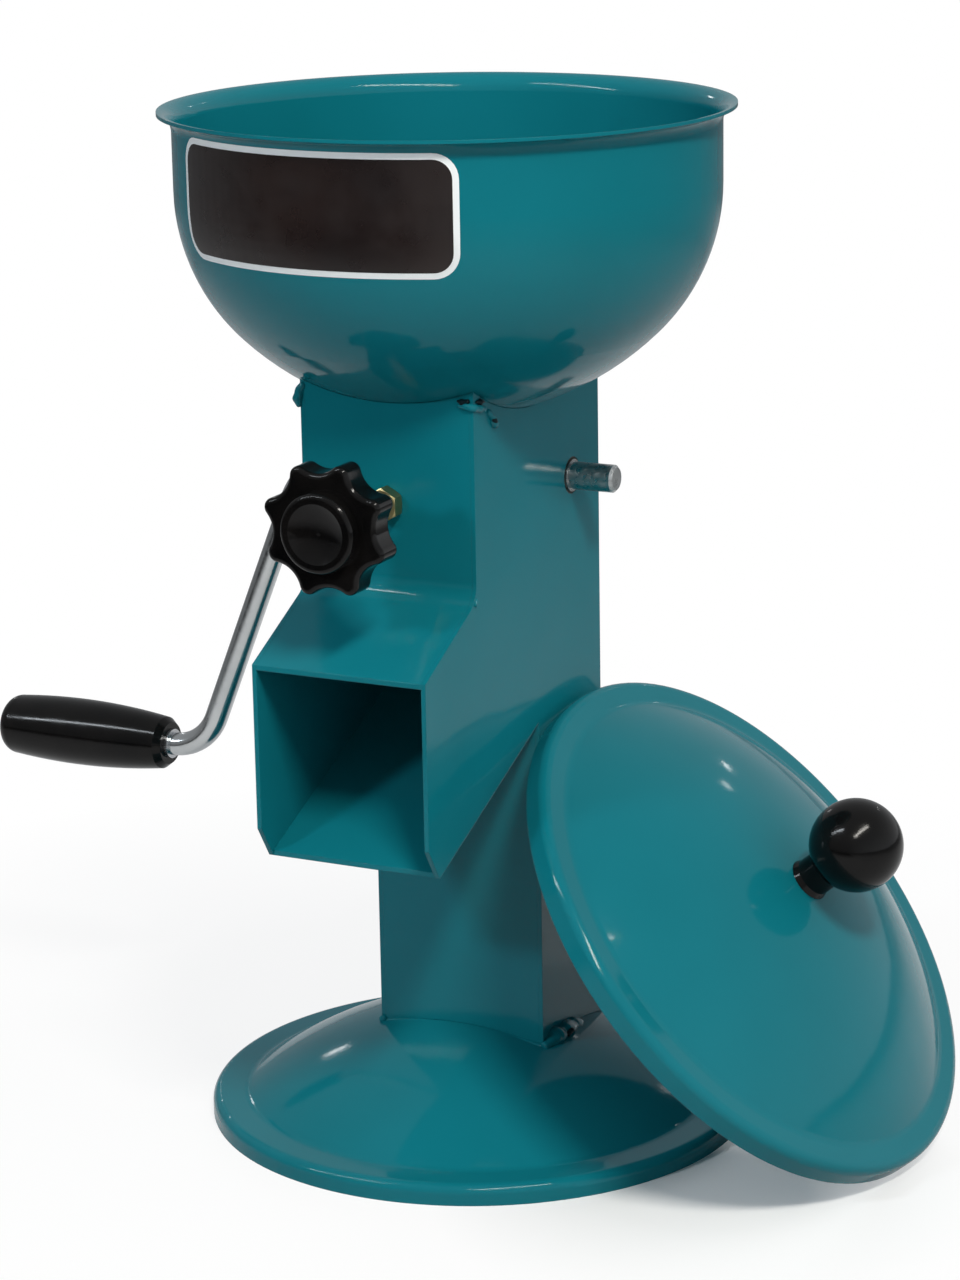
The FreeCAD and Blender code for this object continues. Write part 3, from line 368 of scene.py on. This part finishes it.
def lump_chain(name, seed, material, stations, wobble=0.25):
    """Lumpy weld bead through (x, y, z, radius) stations in millimetres, with round ends."""
    points = [Vector(station[:3]) * MM for station in stations]
    radii = [station[3] * MM for station in stations]
    line = []
    for index in range(len(points) - 1):
        for step in range(LUMP_STEPS):
            share = step / LUMP_STEPS
            line.append((points[index].lerp(points[index + 1], share),
                         radii[index] + (radii[index + 1] - radii[index]) * share))
    line.append((points[-1], radii[-1]))
    begin = (line[0][0] - line[1][0]).normalized()
    finish = (line[-1][0] - line[-2][0]).normalized()

    def cap_rings(end, way):
        centre, radius = end
        return [(centre + way * radius * cap, radius * math.sqrt(1 - cap * cap)) for cap in LUMP_CAPS]

    line = cap_rings(line[0], begin)[::-1] + line + cap_rings(line[-1], finish)
    bm = bmesh.new()
    rings = []
    for index, (centre, radius) in enumerate(line):
        ahead = (line[min(index + 1, len(line) - 1)][0] - line[max(index - 1, 0)][0]).normalized()
        across = ahead.cross(LUMP_STEADY).normalized()
        up = ahead.cross(across)
        ring = []
        for side in range(LUMP_SIDES):
            turn = math.tau * side / LUMP_SIDES
            way = across * math.cos(turn) + up * math.sin(turn)
            inside = centre + way * radius * LUMP_READ
            swell = noise.noise(inside * LUMP_GRAIN + Vector((seed * LUMP_SEED_STEP, 0, 0)))
            ring.append(bm.verts.new(centre + way * radius * (1 + wobble * swell)))
        rings.append(ring)
    skin(bm, rings, closed=True)
    piece = make_piece(name, bm, material, "housing")
    smooth = piece.modifiers.new("smooth", "SUBSURF")
    smooth.levels = LUMP_SMOOTHING
    smooth.render_levels = LUMP_SMOOTHING


def make_welds():
    """Weld spots where the bowl meets the column, at the fold, and where the leg meets the base, with
    near-black blobs as painted shade in their pits.
    """
    paint = MATERIALS["teal_paint"]
    # Near-black material for blobs over the welds' pits: painted shade of their hollows.
    pit_shade_shader = Shader("painted_pit_shade", Specular_IOR_Level=0.15)
    tint = pit_shade_shader.mix_colour(pit_shade_shader.noise(300.0), (0.001, 0.006, 0.008), (0.002, 0.018, 0.024))
    pit_shade = pit_shade_shader.feed(Base_Color=tint, Roughness=pit_shade_shader.patches(400.0, 0.3, 0.6))
    lump_chain("weld_top_left", 1, paint, (
        (-39.0, -75.0, 336.6, 1.4), (-40.6, -75.3, 333.6, 1.9), (-41.4, -75.1, 330.6, 2.3),
        (-40.6, -75.0, 328.2, 1.3)))
    lump_chain("weld_top_right", 2, paint, (
        (34.2, -74.9, 333.2, 1.3), (37.2, -75.2, 333.0, 1.7), (39.8, -74.4, 332.6, 1.9),
        (40.2, -70.6, 331.6, 1.7), (40.0, -65.5, 330.4, 1.4)))
    lump_chain("weld_run", 3, paint, (
        (40.0, -61.5, 328.4, 1.5), (40.2, -58.6, 325.4, 1.8), (40.3, -56.6, 322.4, 1.9)))
    # These three dark blobs are painted shade where the top weld has pits.
    lump_chain("weld_pit_shade_left", 4, pit_shade, (
        (33.4, -75.4, 335.0, 0.7), (35.4, -75.5, 334.6, 1.2), (37.8, -75.4, 335.2, 0.8)), wobble=0.9)
    lump_chain("weld_pit_shade_right", 5, pit_shade, (
        (40.2, -72.4, 334.6, 0.8), (40.4, -69.4, 333.8, 1.4), (40.4, -66.4, 333.6, 0.8)), wobble=0.9)
    lump_chain("weld_pit_shade_run", 6, pit_shade, (
        (40.9, -59.4, 325.2, 0.9), (41.0, -57.6, 323.4, 1.3), (40.9, -56.6, 321.8, 0.9)), wobble=0.9)
    lump_chain("weld_foot_front", 7, paint, (
        (-38.0, -18.0, 37.4, 1.3), (-20.0, -18.0, 40.0, 1.1), (0.0, -18.0, 40.8, 1.0),
        (20.0, -18.0, 40.0, 1.1), (38.4, -18.0, 37.4, 1.4)))
    lump_chain("weld_foot_left", 8, paint, (
        (-39.2, -18.4, 38.4, 2.0), (-40.2, -14.0, 37.2, 1.6), (-40.2, -8.0, 37.4, 1.2)))
    lump_chain("weld_foot_right", 9, paint, (
        (40.6, -17.0, 37.4, 2.2), (41.2, -12.5, 38.2, 3.0), (41.6, -7.5, 38.8, 4.2),
        (41.2, -3.0, 38.0, 3.2), (41.6, 3.0, 38.4, 4.2), (41.2, 8.5, 37.6, 3.0),
        (41.2, 13.0, 37.4, 3.2), (40.6, 18.0, 36.4, 1.8)), wobble=0.35)
    # A dark blob as painted shade in a pit of the foot's weld.
    lump_chain("weld_foot_pit_shade", 10, pit_shade, ((45.0, -2.6, 38.6, 1.2), (45.4, 0.0, 39.4, 1.3)))
    lump_chain("weld_foot_back", 11, paint, (
        (-38.0, 45.4, 31.2, 1.3), (0.0, 45.4, 36.0, 1.1), (38.0, 45.4, 31.2, 1.4)))
    lump_chain("weld_fold", 12, paint, ((39.8, -75.2, 252.6, 0.8), (40.0, -76.4, 250.8, 1.0)))


# The adjusting screw's thread and the plain pin at its inner end, in metres.
THREAD_PITCH = 0.00125
THREAD_DEPTH = 0.0006
THREAD_STEEPNESS = 2.6
THREAD_RUN_OUT = 0.0008
THREAD_SIDES = 28
ROWS_PER_TURN = 8
PIN_LENGTH = 0.0061
PIN_RADIUS = 0.0025
PIN_CHAMFER = 0.0004


def threaded_screw():
    """Adjusting screw with its thread cut, from the knob's insert to the foot's pin."""
    low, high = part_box("adjusting_screw")
    axis_x = (low[0] + high[0]) / 2
    axis_z = (low[2] + high[2]) / 2
    crest = (high[0] - low[0]) / 2
    start = low[1]
    shoulder = high[1] - PIN_LENGTH
    rows = int((shoulder - start) / THREAD_PITCH * ROWS_PER_TURN)
    shares = [side / THREAD_SIDES for side in range(THREAD_SIDES)]
    bm = bmesh.new()

    def ring(y, radii):
        return [bm.verts.new((axis_x + radius * math.cos(math.tau * share), y,
                              axis_z + radius * math.sin(math.tau * share)))
                for share, radius in zip(shares, radii)]

    def thread_radius(y, share):
        phase = ((y - start) / THREAD_PITCH + share) % 1.0
        groove = min(1.0, abs(phase - 0.5) * THREAD_STEEPNESS)
        end = min(1.0, min(y - start, shoulder - y) / THREAD_RUN_OUT)
        return crest - THREAD_DEPTH * (1 - groove * end)

    rings = []
    for row in range(rows + 1):
        y = start + (shoulder - start) * row / rows
        rings.append(ring(y, [thread_radius(y, share) for share in shares]))
    for y, radius in ((shoulder, PIN_RADIUS), (high[1] - PIN_CHAMFER, PIN_RADIUS),
                      (high[1], PIN_RADIUS - PIN_CHAMFER)):
        rings.append(ring(y, [radius] * THREAD_SIDES))
    skin(bm, rings, closed=True)
    slot = SLOTS["adjusting_screw"]
    piece = make_piece("adjusting_screw_thread", bm, MATERIALS[slot], "knob")
    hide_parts("adjusting_screw")


def stage_sheet(name, corners, material):
    """Flat stage sheet from its four corners."""
    bm = bmesh.new()
    bm.faces.new([bm.verts.new(corner) for corner in corners])
    sheet = make_object(name, bm, material)
    return sheet


FLOOR_HALF = 8.0
# Middle of the deep shadow between the base and the lid, on the floor.
LID_SHADOW = (0.135, -0.055, 0.0)
# Each row is a range of distances in metres and the values at its two ends.
# The floor's white glow grows away from the lid's shadow, and the rest of it away from the middle.
GLOW_OFF_SHADOW = (0.04, 0.12, 0.0, 0.82)
GLOW_OFF_MIDDLE = (0.25, 0.5, 0.0, 0.18)
# How much of the white paper shows in reflections, by distance from the middle.
MIRRORED = (0.4, 1.3, 0.42, 0.0)
# From the lighter grey near the middle to the darker one, for light that scatters off the paper.
NEAR = (0.35, 0.9, 1.0, 0.0)


def make_floor():
    """White paper. Light that scatters off it is held down, so the object's underside stays deep."""
    shader = Shader("floor_paper", Roughness=0.9, Specular_IOR_Level=0.0)
    white = shader.mix_colour(shader.noise(3.0), (0.93, 0.93, 0.93), (0.96, 0.96, 0.96))
    path = shader.add("ShaderNodeLightPath")
    far = shader.add("ShaderNodeVectorMath", operation="LENGTH")
    shader.links.new(shader.place(), far.inputs[0])
    aside = shader.add("ShaderNodeVectorMath", operation="DISTANCE")
    shader.links.new(shader.place(), aside.inputs[0])
    aside.inputs[1].default_value = LID_SHADOW
    mirrored = shader.maths(
        "MULTIPLY", path.outputs["Is Glossy Ray"], shader.ramp(far.outputs["Value"], *MIRRORED))
    seen = shader.maths("ADD", path.outputs["Is Camera Ray"], mirrored)
    grey = shader.mix_colour(
        shader.ramp(far.outputs["Value"], *NEAR), (0.36, 0.36, 0.36), (0.42, 0.42, 0.42))
    shader.feed(Base_Color=shader.mix_colour(seen, grey, white))
    glow = shader.add("ShaderNodeEmission", Color=(1, 1, 1, 1), Strength=1.0)
    bright = shader.maths("ADD", shader.ramp(aside.outputs["Value"], *GLOW_OFF_SHADOW),
                          shader.ramp(far.outputs["Value"], *GLOW_OFF_MIDDLE))
    shader.blend(shader.maths("MULTIPLY", seen, bright), shader.surface.outputs["BSDF"],
                 glow.outputs["Emission"])
    stage_sheet("floor", [(-FLOOR_HALF, -FLOOR_HALF, 0), (FLOOR_HALF, -FLOOR_HALF, 0),
                          (FLOOR_HALF, FLOOR_HALF, 0), (-FLOOR_HALF, FLOOR_HALF, 0)], shader.material)


# Edges of the black card, in metres. It fades out between FLAG_FADE and FLAG_BACK.
FLAG_LEFT = -2.6
FLAG_RIGHT = 0.35
FLAG_FRONT = -3.2
FLAG_BACK = -0.5
FLAG_FADE = -0.95
FLAG_HEIGHT = 0.02


def make_flag():
    """Black card in front of the object, seen in reflections only. It keeps the front plate deep."""
    shader = Shader("flag_cloth", Roughness=0.9, Specular_IOR_Level=0.0)
    shader.feed(Base_Color=shader.mix_colour(
        shader.noise(40.0), (0.006, 0.006, 0.006), (0.012, 0.012, 0.012)))
    parts = shader.add("ShaderNodeSeparateXYZ")
    shader.links.new(shader.place(), parts.inputs["Vector"])
    clear = shader.add("ShaderNodeBsdfTransparent")
    shader.blend(shader.ramp(parts.outputs["Y"], FLAG_FADE, FLAG_BACK, 1.0, 0.0),
                 clear.outputs["BSDF"], shader.surface.outputs["BSDF"])
    flag = stage_sheet("flag", [
        (FLAG_LEFT, FLAG_FRONT, FLAG_HEIGHT), (FLAG_RIGHT, FLAG_FRONT, FLAG_HEIGHT),
        (FLAG_RIGHT, FLAG_BACK, FLAG_HEIGHT), (FLAG_LEFT, FLAG_BACK, FLAG_HEIGHT)], shader.material)
    flag.visible_camera = False
    flag.visible_shadow = False
    flag.visible_diffuse = False


# Lamps, in metres.
LAMP_TARGET = Vector((0, 0, 0.2))
LAMP_HEIGHT = 1.7
WARM = (1.0, 0.97, 0.90)
COOL = (0.87, 0.94, 1.0)
WHITE = (1, 1, 1)
# Directions along the long sides of the lamps on the right and on the left.
ALONG_RIGHT = (0.15, 0.99, 0)
ALONG_LEFT = (0.95, 0.3, 0)
# Three tubes hang side by side, in a row that runs slightly aslant.
TUBE_GAP = 0.07
TUBE_SLANT = 0.3
TUBE_LENGTH = 1.5
RIGHT_PLACE = (0.95, -0.95)
LEFT_PLACE = (-1.2, -1.4)


def area_light(name, place, size, power, colour=WHITE, along=(1, 0, 0)):
    """Lamp of (width, height) in metres and a power in watts, with its width along a direction."""
    data = bpy.data.lights.new(name, "AREA")
    data.shape = "RECTANGLE"
    data.size, data.size_y = size
    data.energy = power
    data.color = colour
    light = bpy.data.objects.new(name, data)
    back = (Vector(place) - LAMP_TARGET).normalized()
    level = Vector(along)
    right = (level - back * level.dot(back)).normalized()
    turn = Matrix((right, back.cross(right), back)).transposed()
    light.matrix_world = Matrix.Translation(place) @ turn.to_4x4()
    bpy.context.collection.objects.link(light)
    return light


def make_lamps():
    """Tubes give the glints. Two shorter panels give the shadows, and a wide one fills in behind."""
    right_x, right_y = RIGHT_PLACE
    left_x, left_y = LEFT_PLACE
    for number, shift in enumerate((-TUBE_GAP, 0.0, TUBE_GAP)):
        slant = shift * TUBE_SLANT
        tubes = (
            area_light("right_tube_%d" % number, (right_x + shift, right_y + slant, LAMP_HEIGHT),
                       (TUBE_LENGTH, 0.045), 9.5, WARM, ALONG_RIGHT),
            area_light("left_tube_%d" % number, (left_x - slant, left_y + shift, LAMP_HEIGHT),
                       (TUBE_LENGTH, 0.03), 7.0, COOL, ALONG_LEFT))
        for tube in tubes:
            tube.visible_diffuse = False
    panels = (
        area_light("right_panel", (right_x, right_y, LAMP_HEIGHT), (0.5, 0.2), 25.8, WARM, ALONG_RIGHT),
        area_light("left_panel", (-1.15, -2.2, 1.55), (0.3, 0.2), 20.0, COOL, ALONG_LEFT),
        area_light("back_panel", (-0.9, 2.0, 0.75), (1.6, 0.8), 14.0, COOL))
    for panel in panels:
        panel.visible_glossy = False
    area_light("back_spot_near", (0.6, 2.8, LAMP_HEIGHT), (0.10, 0.05), 0.2)
    area_light("back_spot_far", (0.3, 3.8, LAMP_HEIGHT), (0.12, 0.06), 0.3)
    area_light("back_spot_left", (-3.0, 2.6, LAMP_HEIGHT), (0.25, 0.12), 1.2)


# Strength of the room's light: overhead, round the horizon, and what +X, -X, +Y and -Y add to it.
WORLD_TOP = 0.40
WORLD_HORIZON = 0.34
WORLD_RIGHT = 0.85
WORLD_LEFT = -0.22
WORLD_BACK = 0.12
WORLD_FRONT = -0.14
WORLD_COLOUR = (0.94, 0.97, 1.0, 1)
# Heights of the view direction between which the horizon's light gives way to the light overhead.
HORIZON_Z = -0.1
OVERHEAD_Z = 0.9
# Share of the white backdrop that metal and glass show.
BACKDROP_IN_MIRRORS = 0.096


def make_world():
    """Room light that differs by direction, in front of a backdrop that the camera sees as white."""
    world = bpy.data.worlds.new("studio")
    bpy.context.scene.world = world
    world.use_nodes = True
    nodes = world.node_tree.nodes
    links = world.node_tree.links
    where = nodes.new("ShaderNodeTexCoord")
    parts = nodes.new("ShaderNodeSeparateXYZ")
    links.new(where.outputs["Generated"], parts.inputs["Vector"])

    def spread(axis, *ends):
        return map_range(nodes.new("ShaderNodeMapRange"), links, parts.outputs[axis], ends)

    def join(operation, first, second):
        node = nodes.new("ShaderNodeMath")
        node.operation = operation
        links.new(first, node.inputs[0])
        links.new(second, node.inputs[1])
        return node.outputs[0]

    low = join("ADD", spread("X", 0, 1, WORLD_HORIZON, WORLD_HORIZON + WORLD_RIGHT),
               spread("X", -1, 0, WORLD_LEFT, 0))
    low = join("ADD", low, spread("Y", 0, 1, 0, WORLD_BACK))
    low = join("ADD", low, spread("Y", -1, 0, WORLD_FRONT, 0))
    strength = join("ADD", join("MULTIPLY", low, spread("Z", HORIZON_Z, OVERHEAD_Z, 1, 0)),
                    spread("Z", HORIZON_Z, OVERHEAD_Z, 0, WORLD_TOP))
    background = nodes["Background"]
    background.inputs["Color"].default_value = WORLD_COLOUR
    links.new(strength, background.inputs["Strength"])
    white = nodes.new("ShaderNodeBackground")
    white.inputs["Color"].default_value = (1, 1, 1, 1)
    white.inputs["Strength"].default_value = 1.0
    path = nodes.new("ShaderNodeLightPath")
    faint = nodes.new("ShaderNodeMath")
    faint.operation = "MULTIPLY"
    faint.inputs[1].default_value = BACKDROP_IN_MIRRORS
    mirrors = join("ADD", path.outputs["Is Glossy Ray"], path.outputs["Is Transmission Ray"])
    links.new(mirrors, faint.inputs[0])
    blend = nodes.new("ShaderNodeMixShader")
    links.new(join("ADD", path.outputs["Is Camera Ray"], faint.outputs[0]), blend.inputs["Fac"])
    links.new(background.outputs["Background"], blend.inputs[1])
    links.new(white.outputs["Background"], blend.inputs[2])
    links.new(blend.outputs["Shader"], nodes["World Output"].inputs["Surface"])


make_camera()
dress_nodes()
make_label()
make_welds()
threaded_screw()
make_floor()
make_flag()
make_world()
make_lamps()
bpy.context.scene.view_settings.view_transform = "Standard"
